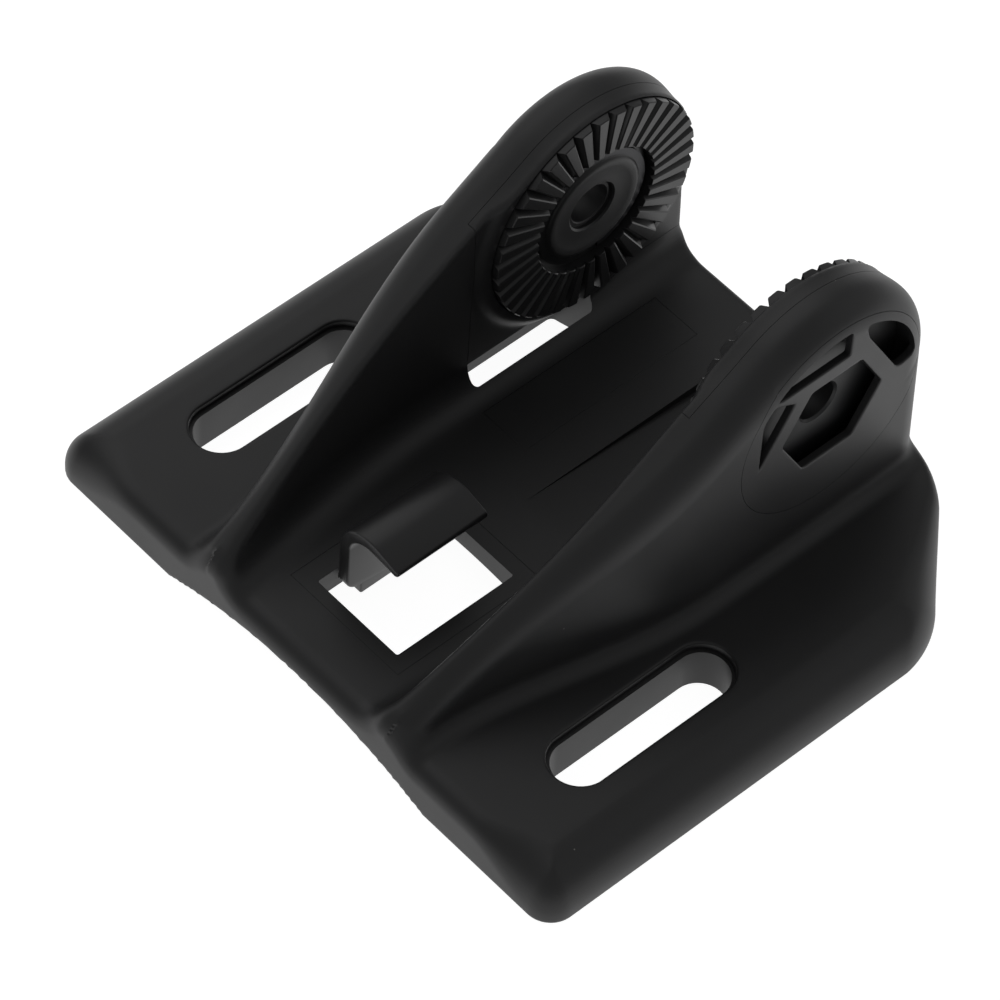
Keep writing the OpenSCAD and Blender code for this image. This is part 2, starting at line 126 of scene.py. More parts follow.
def place_camera():
    azimuth, elevation, roll = math.radians(44.65), math.radians(51.78), math.radians(4.33)
    distance, shift_right, shift_up = 715, -5.8, -10.6
    centre = Vector([(a + b) / 2 / MM for a, b in zip(*cad_box)])
    back = Vector((math.sin(azimuth) * math.cos(elevation), -math.cos(azimuth) * math.cos(elevation),
                   math.sin(elevation)))
    level = Vector((math.cos(azimuth), math.sin(azimuth), 0))
    above = back.cross(level)
    right = math.cos(roll) * level + math.sin(roll) * above
    up = back.cross(right)
    spot = (centre + right * shift_right + up * shift_up + back * distance) * MM
    camera = bpy.data.objects.new("camera", bpy.data.cameras.new("camera"))
    camera.data.lens, camera.data.sensor_width = 221.5, 36
    camera.data.clip_start, camera.data.clip_end = 0.01, 10
    camera.matrix_world = Matrix((right, up, back)).transposed().to_4x4()
    camera.matrix_world.translation = spot
    bpy.context.scene.collection.objects.link(camera)
    bpy.context.scene.camera = camera


# ---- meshes ----

def piece(name, points, faces, smooth_angle=30):
    """A mesh object from points in millimetres behind the front edge."""
    points = np.asarray(points, float).reshape(-1, 3) + (0, FRONT, 0)
    mesh = bpy.data.meshes.new(name)
    if isinstance(faces, np.ndarray):
        mesh.vertices.add(len(points))
        mesh.vertices.foreach_set("co", (points * MM).ravel())
        mesh.loops.add(faces.size)
        mesh.loops.foreach_set("vertex_index", faces.astype(np.int32).ravel())
        mesh.polygons.add(len(faces))
        mesh.polygons.foreach_set("loop_start", np.arange(0, faces.size, 4, dtype=np.int32))
        mesh.update(calc_edges=True)
    else:
        mesh.from_pydata((points * MM).tolist(), [], faces)
    obj = bpy.data.objects.new(name, mesh)
    bpy.context.scene.collection.objects.link(obj)
    smooth(obj, smooth_angle)
    return obj


def smooth(obj, angle=30):
    obj.data.shade_smooth()
    obj.data.set_sharp_from_angle(angle=math.radians(angle))


def bake(obj):
    """Turns the object's modifiers into its mesh."""
    graph = bpy.context.evaluated_depsgraph_get()
    mesh = bpy.data.meshes.new_from_object(obj.evaluated_get(graph))
    obj.modifiers.clear()
    old, obj.data = obj.data, mesh
    bpy.data.meshes.remove(old)
    return obj


def remove(*objects):
    for obj in objects:
        mesh = obj.data
        bpy.data.objects.remove(obj)
        bpy.data.meshes.remove(mesh)


def carve(obj, tools, operation="DIFFERENCE"):
    """Cuts obj with each tool in turn; the tools stay."""
    for tool in tools:
        modifier = obj.modifiers.new("cut", "BOOLEAN")
        modifier.object, modifier.operation, modifier.solver = tool, operation, "MANIFOLD"
    bake(obj)
    smooth(obj)
    return obj


def bevel(obj, width, segments=3, angle=35):
    modifier = obj.modifiers.new("edges", "BEVEL")
    modifier.width, modifier.segments = width * MM, segments
    modifier.limit_method, modifier.angle_limit = "ANGLE", math.radians(angle)
    modifier.harden_normals = False
    bake(obj)
    smooth(obj, 40)
    return obj


def mirrored(obj, name):
    """The same piece for the left side."""
    mesh = obj.data.copy()
    mesh.transform(Matrix.Scale(-1, 4, (1, 0, 0)))
    mesh.flip_normals()
    copy = bpy.data.objects.new(name, mesh)
    bpy.context.scene.collection.objects.link(copy)
    return copy


def join(name, *objects):
    target = objects[0]
    with bpy.context.temp_override(active_object=target, selected_editable_objects=list(objects)):
        bpy.ops.object.join()
    target.name = target.data.name = name
    return target


def loft(name, loops):
    """A closed solid through loops with equal numbers of points."""
    n = len(loops[0])
    points = [p for loop in loops for p in loop]
    faces = [(k * n + i, k * n + (i + 1) % n, (k + 1) * n + (i + 1) % n, (k + 1) * n + i)
             for k in range(len(loops) - 1) for i in range(n)]
    faces.append(tuple(reversed(range(n))))
    faces.append(tuple(range((len(loops) - 1) * n, len(loops) * n)))
    return outward(piece(name, points, faces))


def outward(obj):
    """Turns a closed shell's faces outwards by the sign of its volume."""
    mesh = obj.data
    mesh.calc_loop_triangles()
    co = np.array([v.co for v in mesh.vertices])
    tri = np.array([t.vertices for t in mesh.loop_triangles])
    a, b, c = co[tri[:, 0]], co[tri[:, 1]], co[tri[:, 2]]
    if np.einsum("ij,ij->i", a, np.cross(b, c)).sum() < 0:
        mesh.flip_normals()
    return obj


def block(name, x0, x1, y0, y1, z0, z1):
    return loft(name, [[(x0, y0, z), (x1, y0, z), (x1, y1, z), (x0, y1, z)] for z in (z0, z1)])


def spun(name, profile, segments=128):
    """A ring round the pivot axis from a closed profile of (radius, x) points."""
    n = len(profile)
    points = []
    for k in range(segments):
        turn = 2 * math.pi * k / segments
        points += [(x, PIVOT_Y + r * math.cos(turn), PIVOT_Z + r * math.sin(turn)) for r, x in profile]
    faces = [(k * n + i, k * n + j, (k + 1) % segments * n + j, (k + 1) % segments * n + i)
             for k in range(segments) for i, j in zip(range(n), [*range(1, n), 0])]
    return outward(piece(name, points, faces))


def drum(name, stations, segments=128):
    """A solid round the pivot axis through stations of (x, radius)."""
    turns = [2 * math.pi * k / segments for k in range(segments)]
    return loft(name, [[(x, PIVOT_Y + r * math.cos(t), PIVOT_Z + r * math.sin(t)) for t in turns]
                       for x, r in stations])


def arc(centre, radius, start, end, steps):
    """Points along an arc, angles in degrees."""
    return [(centre[0] + radius * math.cos(math.radians(start + (end - start) * i / steps)),
             centre[1] + radius * math.sin(math.radians(start + (end - start) * i / steps)))
            for i in range(steps + 1)]


def rim(face_at, radius, steps=4):
    """Depth and growth of a cutter where it rounds the edge of a face."""
    return [(face_at - radius * (1 - math.sin(t)), radius * (1 - math.cos(t)))
            for t in (math.pi / 2 * i / steps for i in range(steps + 1))]


# ---- the moulded form, as a distance field ----

def round_max(a, b, r):
    """Intersection of two solids with its edge rounded to r."""
    return np.minimum(np.maximum(a, b), -r) + np.hypot(np.maximum(a + r, 0), np.maximum(b + r, 0))


def round_min(a, b, r):
    """Union of two solids with a fillet of r."""
    return -round_max(-a, -b, r)


def ease(t):
    t = np.clip(t, 0, 1)
    return t * t * (3 - 2 * t)


def plan_distance(x, y):
    """Outline of the plate seen from above."""
    past_side, past_end = np.abs(x) - BASE_W / 2, np.abs(y - BASE_D / 2) - BASE_D / 2
    past_cut = (past_side + past_end + BACK_CUT) / math.sqrt(2)
    back = round_max(round_max(past_side, past_cut, BACK_CORNER_R), past_end, BACK_CORNER_R)
    return np.where(y < BASE_D / 2, round_max(past_side, past_end, FRONT_CORNER_R), back)


def side_distance(y, z):
    """Outline of an ear seen from the side: the ridge, the arch and the back."""
    dy, dz = y - EAR_Y, z - EAR_Z
    top = dz * math.cos(RIDGE_SLOPE) - dy * math.sin(RIDGE_SLOPE) - EAR_R
    past_top = dy * math.cos(RIDGE_SLOPE) + dz * math.sin(RIDGE_SLOPE)

    foot_y, foot_z = BASE_D - EAR_Y, WING_T - EAR_Z
    lean = math.atan2(foot_z, foot_y) + math.acos(EAR_R / math.hypot(foot_y, foot_z))
    back = dy * math.cos(lean) + dz * math.sin(lean) - EAR_R
    under_arch = dy * math.sin(lean) - dz * math.cos(lean)
    overlap = 8
    wedge = np.maximum(np.maximum(back, -under_arch), -past_top - overlap)
    front = np.maximum(np.maximum(top, past_top), back)
    return np.minimum(np.minimum(front, wedge), np.hypot(dy, dz) - EAR_R)


def inner_face(y, z):
    """Distance of an ear's inner face from the middle plane, with the low boss round the ratchet."""
    run = np.clip(1 - y / FLARE_IN_END, 0, 1)
    away = np.hypot(y - PIVOT_Y, z - PIVOT_Z)
    boss = BOSS_H * (1 - ease((away - EAR_R) / BOSS_FLANK))
    return EAR_IN - (EAR_IN - FRONT_IN) * run ** FLARE_IN_POWER - boss


def outer_face(y):
    """Distance of an ear's outer face from the middle plane."""
    return FRONT_OUT + (EAR_OUT - FRONT_OUT) * ease((y - FLARE_OUT_START) / FLARE_OUT_LENGTH)


def moulding(x, y, z):
    """The whole moulded form before any slot, pocket or seat is cut."""
    x = np.abs(x)
    inner, outer = inner_face(y, z), outer_face(y)
    blend_y = 40
    shoulder = SHOULDER_FRONT + (SHOULDER_R - SHOULDER_FRONT) * ease(y / blend_y)
    fall = CROWN * ease((CROWN_X - x) / CROWN_WIDTH) * ease((y - LINER_FRONT) / CROWN_LEAD)
    ear = round_max(side_distance(y, z) + fall, x - outer, shoulder)
    inner_edge = INNER_EDGE_R + (INNER_EDGE_FRONT - INNER_EDGE_R) * (1 - ease(y / 44))
    ear = round_max(ear, inner - x, inner_edge)
    fillet = np.where(x > (inner + outer) / 2, FOOT_R, COVE_R)
    form = round_min(z - WING_T, ear, fillet)
    wing_edge = EDGE_R + (SIDE_EDGE_R - EDGE_R) * ease((x - SIDE_EDGE_X) / SIDE_EDGE_RUN)
    back_edge = BACK_EDGE_R + (wing_edge - BACK_EDGE_R) * ease((x - EAR_OUT) / BACK_EDGE_RUN)
    above_wing = ease((z - WING_T - 0.2) / 3)
    edge = np.where(y < BASE_D / 2, wing_edge, back_edge - (back_edge - UPPER_EDGE_R) * above_wing)
    form = round_max(form, plan_distance(x, y), edge)
    arch_r = ((ARCH_W / 2) ** 2 + ARCH_H ** 2) / (2 * ARCH_H)
    form = np.maximum(form, arch_r - np.hypot(x, z - ARCH_H + arch_r))
    return round_max(form, -z, SOLE_EDGE_R)


def lines(*stretches):
    """Grid lines through stretches of (start, end, step)."""
    out = [np.linspace(a, b, max(2, round((b - a) / step) + 1))[:-1] for a, b, step in stretches]
    return np.concatenate(out + [[stretches[-1][1]]])


def cast(name, field, xs, ys, zs):
    """A quad mesh of the surface where field is zero, on a grid of uneven lines."""
    value = field(xs[:, None, None], ys[None, :, None], zs[None, None, :])
    inside = value < 0
    shape = tuple(n - 1 for n in value.shape)
    corners = [(i, j, k) for i in (0, 1) for j in (0, 1) for k in (0, 1)]

    def at_corner(array, i, j, k):
        return array[i:i + shape[0], j:j + shape[1], k:k + shape[2]]

    count = sum(at_corner(inside, *c).astype(np.int8) for c in corners)
    cells = np.argwhere((count > 0) & (count < 8))
    axes = (xs, ys, zs)
    total, hits = np.zeros((len(cells), 3)), np.zeros(len(cells))
    for axis in range(3):
        for start in (c for c in corners if c[axis] == 0):
            first = cells + start
            second = first.copy()
            second[:, axis] += 1
            va, vb = value[tuple(first.T)], value[tuple(second.T)]
            crossed = (va < 0) != (vb < 0)
            share = np.where(crossed, va / np.where(crossed, va - vb, 1), 0)
            ends = [np.stack([axes[a][idx[:, a]] for a in range(3)], 1) for idx in (first, second)]
            total += np.where(crossed[:, None], ends[0] + share[:, None] * (ends[1] - ends[0]), 0)
            hits += crossed
    points = total / hits[:, None]
    for _ in range(3):
        step = 0.01
        here = field(*points.T)
        slope = np.stack([(field(*(points + np.eye(3)[a] * step).T) - here) / step for a in range(3)], 1)
        points -= np.clip(here / np.maximum((slope ** 2).sum(1), 0.2), -0.2, 0.2)[:, None] * slope
    near, far = [np.stack([axes[a][cells[:, a] + end] for a in range(3)], 1) for end in (0, 1)]
    points = np.clip(points, near, far)

    index = np.full(shape, -1, np.int64)
    index[tuple(cells.T)] = np.arange(len(cells))
    quads = []
    for axis in range(3):
        u, v = (axis + 1) % 3, (axis + 2) % 3
        low = [slice(1, -1)] * 3
        low[axis] = slice(0, -1)
        high = list(low)
        high[axis] = slice(1, None)
        a, b = inside[tuple(low)], inside[tuple(high)]
        where = np.argwhere(a != b)
        flip = a[tuple(where.T)]
        base = where + [0 if k == axis else 1 for k in range(3)]
        ring = []
        for du, dv in ((-1, -1), (0, -1), (0, 0), (-1, 0)):
            cell = base.copy()
            cell[:, u] += du
            cell[:, v] += dv
            ring.append(index[tuple(cell.T)])
        ring = np.stack(ring, 1)
        quads.append(np.where(flip[:, None], ring, ring[:, ::-1]))
    return piece(name, points, np.concatenate(quads), 50)


# ---- outlines that a cutter follows ----

def star_outline(field, centre, grow=0, count=144, reach=20):
    """Points where field equals grow, seen from a centre inside it."""
    turns = np.linspace(0, 2 * math.pi, count, endpoint=False)
    near, far = np.zeros(count), np.full(count, float(reach))
    for _ in range(40):
        middle = (near + far) / 2
        value = field(centre[0] + middle * np.cos(turns), centre[1] + middle * np.sin(turns)) - grow
        near, far = np.where(value < 0, middle, near), np.where(value < 0, far, middle)
    return [(centre[0] + r * math.cos(t), centre[1] + r * math.sin(t)) for r, t in zip(near, turns)]


def stadium_outline(cx, cy, width, length, grow=0, steps=24):
    r, half = width / 2 + grow, (length - width) / 2
    return arc((cx, cy + half), r, 0, 180, steps) + arc((cx, cy - half), r, 180, 360, steps)


def box_outline(x0, x1, y0, y1, r, grow=0, steps=5):
    r += grow
    x0, x1, y0, y1 = x0 - grow + r, x1 + grow - r, y0 - grow + r, y1 + grow - r
    return (arc((x1, y1), r, 0, 90, steps) + arc((x0, y1), r, 90, 180, steps)
            + arc((x0, y0), r, 180, 270, steps) + arc((x1, y0), r, 270, 360, steps))


def window_fields():
    """The hexagon and three side windows of a cap, as fields round the pivot axis, with their centres."""
    cell_flat = CELL_R * math.cos(math.pi / 6)
    flat = cell_flat + WEB_W
    tight, corner, wide = 0.25, 0.3, 0.9

    def beyond(angle, distance):
        a = math.radians(angle)
        return lambda y, z: distance - (y * math.cos(a) + z * math.sin(a))

    def meet(r, *fields):
        def field(y, z):
            value = fields[0](y, z)
            for f in fields[1:]:
                value = round_max(value, f(y, z), r)
            return value
        return field

    def disc(y, z):
        return np.hypot(y, z) - WINDOW_R

    half_web = WEB_W / 2
    cell = meet(tight, *[beyond(a, -cell_flat) for a in range(30, 390, 60)])
    back = meet(wide, disc, beyond(30, flat), beyond(0, BACK_WEB_Y + half_web), beyond(SILL_ANGLE, -WEB_W))
    top = meet(corner, disc, beyond(90, flat), beyond(180, half_web - BACK_WEB_Y))
    front = meet(corner, disc, beyond(150, flat), beyond(FRONT_WEB_ANGLE, half_web - CELL_R / 2),
                 beyond(0, FRONT_TRIM - WINDOW_R))
    return [(cell, (0, 0)), (back, (9.0, 6.5)), (top, (-2.0, 11.0)), (front, (-10.0, 4.2))]


# ---- cutters of the body ----

def wing_slot_cutter():
    ledge = WING_T - SLOT_RIM_DEPTH
    stations = [(-1, 0), (ledge, 0), (ledge, SLOT_RIM)]
    stations += [(z, SLOT_RIM + g) for z, g in rim(WING_T, SLOT_LIP_R)]
    stations.append((WING_T + 2, SLOT_RIM + SLOT_LIP_R))
    return loft("slot_cut", [[(x, y, z) for x, y in stadium_outline(SLOT_X, SLOT_Y, SLOT_W, SLOT_L, g)]
                             for z, g in stations])


def prism(name, outline, z0, z1):
    return loft(name, [[(x, y, z) for x, y in outline] for z in (z0, z1)])


def foot_slot_cutter():
    return prism("foot_cut", box_outline(*FOOT_SLOT, 0.8), -1, LINER_FOOT + SEAM)


def liner_block(grow=0.0):
    return block("liner_block", EAR_IN - 6, LINER_OUT + grow, LINER_FRONT - grow, BASE_D + 5,
                 LINER_FOOT - grow, 60)


def ring_pocket_cutter():
    mouth = EAR_IN - BOSS_H
    return drum("pocket_cut", [(mouth - 4, POCKET_R + 0.1), (mouth, POCKET_R + 0.1),
                               (mouth + 0.1, POCKET_R), (POCKET_FLOOR, POCKET_R)])


def spring_groove_cutter():
    return spun("groove_cut", [(SPRING_IN_R, POCKET_FLOOR - 1), (SPRING_OUT_R, POCKET_FLOOR - 1),
                               (SPRING_OUT_R, SPRING_FLOOR), (SPRING_IN_R, SPRING_FLOOR)])


def hollow_cutter():
    return drum("hollow_cut", [(POCKET_FLOOR - 1, HUB_R), (FLANGE_X, HUB_R), (FLANGE_X, HOLLOW_R),
                               (CAP_X, HOLLOW_R), (CAP_X, CAP_R), (EAR_OUT + 2, CAP_R)])


def run_cutter():
    fall = RUN_DEPTH / (BASE_D - RUN_Y)
    end_y = BASE_D + 3
    end_z = WING_T - fall * (end_y - RUN_Y)
    return loft("run_cut", [[(x, RUN_Y, WING_T), (x, end_y, end_z), (x, end_y, WING_T + 2),
                             (x, RUN_Y, WING_T + 2)] for x in (0, RUN_W)])


# ---- pieces ----

def make_shells():
    """The body, and the liners and caps that lie in its surface."""
    half = [(0, 14, 0.7), (14, 20.4, 0.32), (20.4, 28, 0.38), (28, 40, 0.8), (40, 44.7, 0.33)]
    xs = lines(*half)
    xs = np.concatenate([-xs[::-1], xs[1:]])
    ys = lines((-0.7, 4, 0.33), (4, 40, 0.6), (40, BASE_D + 0.6, 0.45))
    zs = lines((-0.5, 8.5, 0.33), (8.5, 47, 0.45))
    form = cast("base_shell", moulding, xs, ys, zs)

    def part_of(name, tool):
        part = bpy.data.objects.new(name, form.data.copy())
        bpy.context.scene.collection.objects.link(part)
        carve(part, [tool], "INTERSECT")
        return part

    liner_tool = liner_block()
    cap_tool = drum("cap_block", [(CAP_X, CAP_R - LINE), (EAR_OUT + 2, CAP_R - LINE)])
    pocket, windows = ring_pocket_cutter(), cap_window_cutters()
    liner = carve(part_of("right_ear_liner_shell", liner_tool), [pocket])
    cap = carve(part_of("right_side_cap_shell", cap_tool), windows)
    seat = liner_block(LINE)
    right_tools = [seat, pocket, spring_groove_cutter(), hollow_cutter(), foot_slot_cutter(),
                   wing_slot_cutter()]
    left_tools = [mirrored(t, t.name + "_left") for t in right_tools]
    middle = [block("insert_seat", -INSERT_X - SEAM, INSERT_X + SEAM, INSERT_Y0 - SEAM, INSERT_Y1 + SEAM,
                    WING_T - INSERT_T, WING_T + 2),
              prism("window_cut", box_outline(*WINDOW, WINDOW_CORNER_R), -1, WING_T + 2),
              run_cutter(),
              block("pad_seat", PAD[0] - SEAM, PAD[1] + SEAM, PAD[2] - SEAM, PAD[3] + SEAM,
                    WING_T - PAD_T, WING_T + 2)]
    carve(form, right_tools + left_tools + middle)
    remove(liner_tool, cap_tool, *windows, *right_tools, *left_tools, *middle)
    return {"base_shell": form, "right_ear_liner_shell": liner, "right_side_cap_shell": cap}


def cap_window_cutters():
    """Cutters for the windows of a cap, with their outer edges slightly rounded."""
    stations = [(CAP_X - 1, 0)] + rim(EAR_OUT, WINDOW_EDGE_R) + [(EAR_OUT + 1, WINDOW_EDGE_R)]
    return [loft(f"window_{i}", [[(x, PIVOT_Y + y, PIVOT_Z + z) for y, z in star_outline(field, centre, g)]
                                 for x, g in stations])
            for i, (field, centre) in enumerate(window_fields())]


def make_hub():
    """Flanged bush: dished face, rounded rim, stepped bore and a groove for the retaining ring."""
    flange_edge, bore_edge, step_edge, mouth_edge, mouth_drop = 0.2, 0.3, 0.15, 0.25, 0.2
    inner, outer = MOUTH_R + mouth_edge, HUB_R - HUB_RIM_R
    step_x, end_x = HUB_X + MOUTH_DEPTH, FLANGE_X + FLANGE_T
    face = [(inner + (outer - inner) * t, HUB_X + DISH * (1 - t * t)) for t in (0, 0.25, 0.5, 0.75)]
    face += arc((outer, HUB_X + HUB_RIM_R), HUB_RIM_R, -90, 0, 6)
    profile = [(r, min(x, SNAP_X - 0.02)) for r, x in face] + [
        (HUB_R, SNAP_X), (SNAP_GROOVE_R, SNAP_X), (SNAP_GROOVE_R, WEB_X), (HUB_R, WEB_X),
        (HUB_R, FLANGE_X), (FLANGE_R - flange_edge, FLANGE_X), (FLANGE_R, FLANGE_X + flange_edge),
        (FLANGE_R, end_x - flange_edge), (FLANGE_R - flange_edge, end_x),
        (BORE_R + bore_edge, end_x), (BORE_R, end_x - bore_edge),
        (BORE_R, step_x + step_edge), (BORE_R + step_edge, step_x),
        (MOUTH_R, step_x), (MOUTH_R, HUB_X + DISH + mouth_drop)]
    return spun("right_hub_turned", profile)


def tooth_sector():
    """One sector of the ratchet ring: a tooth with softened edges, open where it meets the next."""
    soft = TOOTH_SOFT
    half_pitch = math.pi / TEETH

    def top_row(r, lower=0.0):
        depth = TOOTH_H * r / RING_R
        land = half_pitch - depth * math.tan(GROOVE_HALF) / r
        turns = [-half_pitch, -land - soft / 2 / r, -land + soft / r, 0,
                 land - soft / r, land + soft / 2 / r, half_pitch]
        drops = [depth, soft, 0, 0, 0, soft, depth]
        return r, turns, [min(depth, d + lower) for d in drops]

    rows = []
    for r, lower in ((TEETH_IN_R, soft), (TEETH_IN_R + soft, 0), (RING_R - soft, 0), (RING_R, soft)):
        r, turns, drops = top_row(r, lower)
        rows.append([(r, t, RING_TIP + d) for t, d in zip(turns, drops)])
    outer_turns, inner_turns = top_row(RING_R)[1], top_row(TEETH_IN_R)[1]
    rows.append([(RING_R, t, RING_BACK - soft) for t in outer_turns])
    rows.append([(RING_R - soft, t, RING_BACK) for t in outer_turns])
    rows.append([(RING_BORE_R, t, RING_BACK) for t in inner_turns])
    rows.append([(RING_BORE_R, t, WEB_X) for t in inner_turns])
    rows.append([(TEETH_IN_R, t, WEB_X) for t in inner_turns])
    n = len(rows[0])
    points = [(x, PIVOT_Y + r * math.cos(t), PIVOT_Z + r * math.sin(t)) for row in rows for r, t, x in row]
    starts = [k * n for k in range(len(rows))]
    faces = [(a + i, a + i + 1, b + i + 1, b + i)
             for a, b in zip(starts, starts[1:] + starts[:1]) for i in range(n - 1)]
    return piece("ring_sector", points, faces)


def ring_tree():
    """Geometry Nodes: turns one sector round the pivot axis, once for each tooth, and welds the sectors."""
    tree = bpy.data.node_groups.new("tooth_ring", "GeometryNodeTree")
    face = tree.interface
    face.new_socket("Geometry", in_out="INPUT", socket_type="NodeSocketGeometry")
    face.new_socket("Teeth", in_out="INPUT", socket_type="NodeSocketInt").default_value = TEETH
    face.new_socket("Pivot", in_out="INPUT", socket_type="NodeSocketVector")
    face.new_socket("Weld", in_out="INPUT", socket_type="NodeSocketFloat").default_value = WELD
    face.new_socket("Material", in_out="INPUT", socket_type="NodeSocketMaterial")
    face.new_socket("Geometry", in_out="OUTPUT", socket_type="NodeSocketGeometry")
    node = tree.nodes.new
    wire = tree.links.new
    given, result = node("NodeGroupInput"), node("NodeGroupOutput")

    centred = node("GeometryNodeTransform")
    away = node("ShaderNodeVectorMath")
    away.operation = "SCALE"
    away.inputs["Scale"].default_value = -1
    wire(given.outputs["Pivot"], away.inputs[0])
    wire(given.outputs["Geometry"], centred.inputs["Geometry"])
    wire(away.outputs[0], centred.inputs["Translation"])

    spots = node("GeometryNodePoints")
    wire(given.outputs["Teeth"], spots.inputs["Count"])
    wire(given.outputs["Pivot"], spots.inputs["Position"])

    index, spin = node("GeometryNodeInputIndex"), node("ShaderNodeCombineXYZ")
    step, turn = node("ShaderNodeMath"), node("ShaderNodeMath")
    step.operation, turn.operation = "DIVIDE", "MULTIPLY"
    step.inputs[0].default_value = 2 * math.pi
    wire(given.outputs["Teeth"], step.inputs[1])
    wire(index.outputs[0], turn.inputs[0])
    wire(step.outputs[0], turn.inputs[1])
    wire(turn.outputs[0], spin.inputs["X"])

    copies = node("GeometryNodeInstanceOnPoints")
    wire(spots.outputs[0], copies.inputs["Points"])
    wire(centred.outputs[0], copies.inputs["Instance"])
    wire(spin.outputs[0], copies.inputs["Rotation"])
    real, weld, paint = (node("GeometryNodeRealizeInstances"), node("GeometryNodeMergeByDistance"),
                         node("GeometryNodeSetMaterial"))
    wire(copies.outputs[0], real.inputs[0])
    wire(real.outputs[0], weld.inputs["Geometry"])
    wire(given.outputs["Weld"], weld.inputs["Distance"])
    wire(weld.outputs[0], paint.inputs["Geometry"])
    wire(given.outputs["Material"], paint.inputs["Material"])
    wire(paint.outputs[0], result.inputs[0])
    return tree


def make_ratchet_ring(material):
    ring = tooth_sector()
    tree = ring_tree()
    modifier = ring.modifiers.new("teeth", "NODES")
    modifier.node_group = tree
    sockets = {s.name: s.identifier for s in tree.interface.items_tree if s.in_out == "INPUT"}
    modifier[sockets["Teeth"]] = TEETH
    modifier[sockets["Pivot"]] = (0, (PIVOT_Y + FRONT) * MM, PIVOT_Z * MM)
    modifier[sockets["Weld"]] = WELD
    modifier[sockets["Material"]] = material
    bake(ring)
    outward(ring)
    smooth(ring, 25)
    sunk = 0.05
    far = RING_R - KEY_INSET
    near = far - KEY_H
    keys = [block("key", RING_BACK - sunk, RING_BACK + KEY_L, PIVOT_Y - KEY_W / 2, PIVOT_Y + KEY_W / 2,
                  PIVOT_Z + low, PIVOT_Z + high) for low, high in ((near, far), (-far, -near))]
    return join("right_ring_toothed", ring, *keys)


def make_hook():
    """Bent sheet: a leg, a round bend and a flap that thins towards its lipped free edge."""
    bend = (HOOK_BEND_R - HOOK_LEG, HOOK_TOP - HOOK_BEND_R)
    end = 90 - math.degrees(HOOK_SLOPE)
    along = (math.cos(HOOK_SLOPE), -math.sin(HOOK_SLOPE))
    normal = (math.sin(HOOK_SLOPE), math.cos(HOOK_SLOPE))
    outer_end = (bend[0] + HOOK_BEND_R * math.cos(math.radians(end)),
                 bend[1] + HOOK_BEND_R * math.sin(math.radians(end)))
    lip = HOOK_LIP_R
    reach = (HOOK_TIP - outer_end[0]) / along[0] - lip
    lip_at = [start + way * reach - across * lip for start, way, across in zip(outer_end, along, normal)]
    outline = [(-HOOK_LEG, HOOK_FOOT)]
    outline += arc(bend, HOOK_BEND_R, 180, end, 20)
    outline += arc(lip_at, lip, end, end - 180, 10)
    outline += arc(bend, HOOK_BEND_R - HOOK_T, end, 180, 20)
    outline += [(-HOOK_LEG + HOOK_T, HOOK_FOOT)]
    hook = loft("hook_sheet", [[(x, y, z) for x, z in outline] for y in (HOOK_Y0, HOOK_Y1)])
    below = WING_T - 9
    cut_at = (HOOK_Y0 + HOOK_CORNER_R, WING_T - HOOK_DROP + HOOK_CORNER_R)
    notch = [(HOOK_Y0 - 1, below), (HOOK_Y0 - 1, cut_at[1])]
    notch += arc(cut_at, HOOK_CORNER_R, 180, 270, 8)
    notch += [(cut_at[0], below)]
    sides = (-HOOK_LEG - 1, -HOOK_LEG + HOOK_T + 1)
    nick = loft("hook_nick", [[(x, y, z) for y, z in notch] for x in sides])
    carve(hook, [nick])
    bevel(hook, HOOK_EDGE_R, 3)
    remove(nick)
    joined_x, play = -HOOK_LEG + 0.5, 0.1
    tongue = block("hook_tongue", TONGUE_X, joined_x, cut_at[0], HOOK_Y1, WING_T - INSERT_T,
                   WING_T - INSERT_T + TONGUE_T)
    bevel(tongue, 0.1, 1)
    foot = block("hook_foot", WINDOW[0] + play / 2, joined_x, cut_at[0], HOOK_Y1 - play, HOOK_FOOT,
                 WING_T - play)
    bevel(foot, 0.15, 2)
    for extra in (tongue, foot):
        modifier = hook.modifiers.new("add", "BOOLEAN")
        modifier.object, modifier.operation, modifier.solver = extra, "UNION", "MANIFOLD"
        bake(hook)
    smooth(hook, 35)
    remove(tongue, foot)
    hook.name = "cable_hook_bent"
    return hook


def make_insert():
    under = WING_T - INSERT_T
    insert = block("window_insert_frame", -INSERT_X, INSERT_X, INSERT_Y0, INSERT_Y1, under, WING_T)
    bevel(insert, PLATE_EDGE, 1)
    opening = prism("opening", box_outline(*WINDOW, WINDOW_CORNER_R), -1, WING_T + 2)
    room = block("room", TONGUE_X - 0.05, 0, HOOK_Y0 + 1, HOOK_Y1 + SEAM, under - 1, under + TONGUE_T + SEAM)
    carve(insert, [opening, room])
    remove(opening, room)
    return insert


def make_pad():
    pad = block("floor_pad_plate", *PAD, WING_T - PAD_T, WING_T)
    return bevel(pad, PLATE_EDGE, 1)


# ---- materials ----

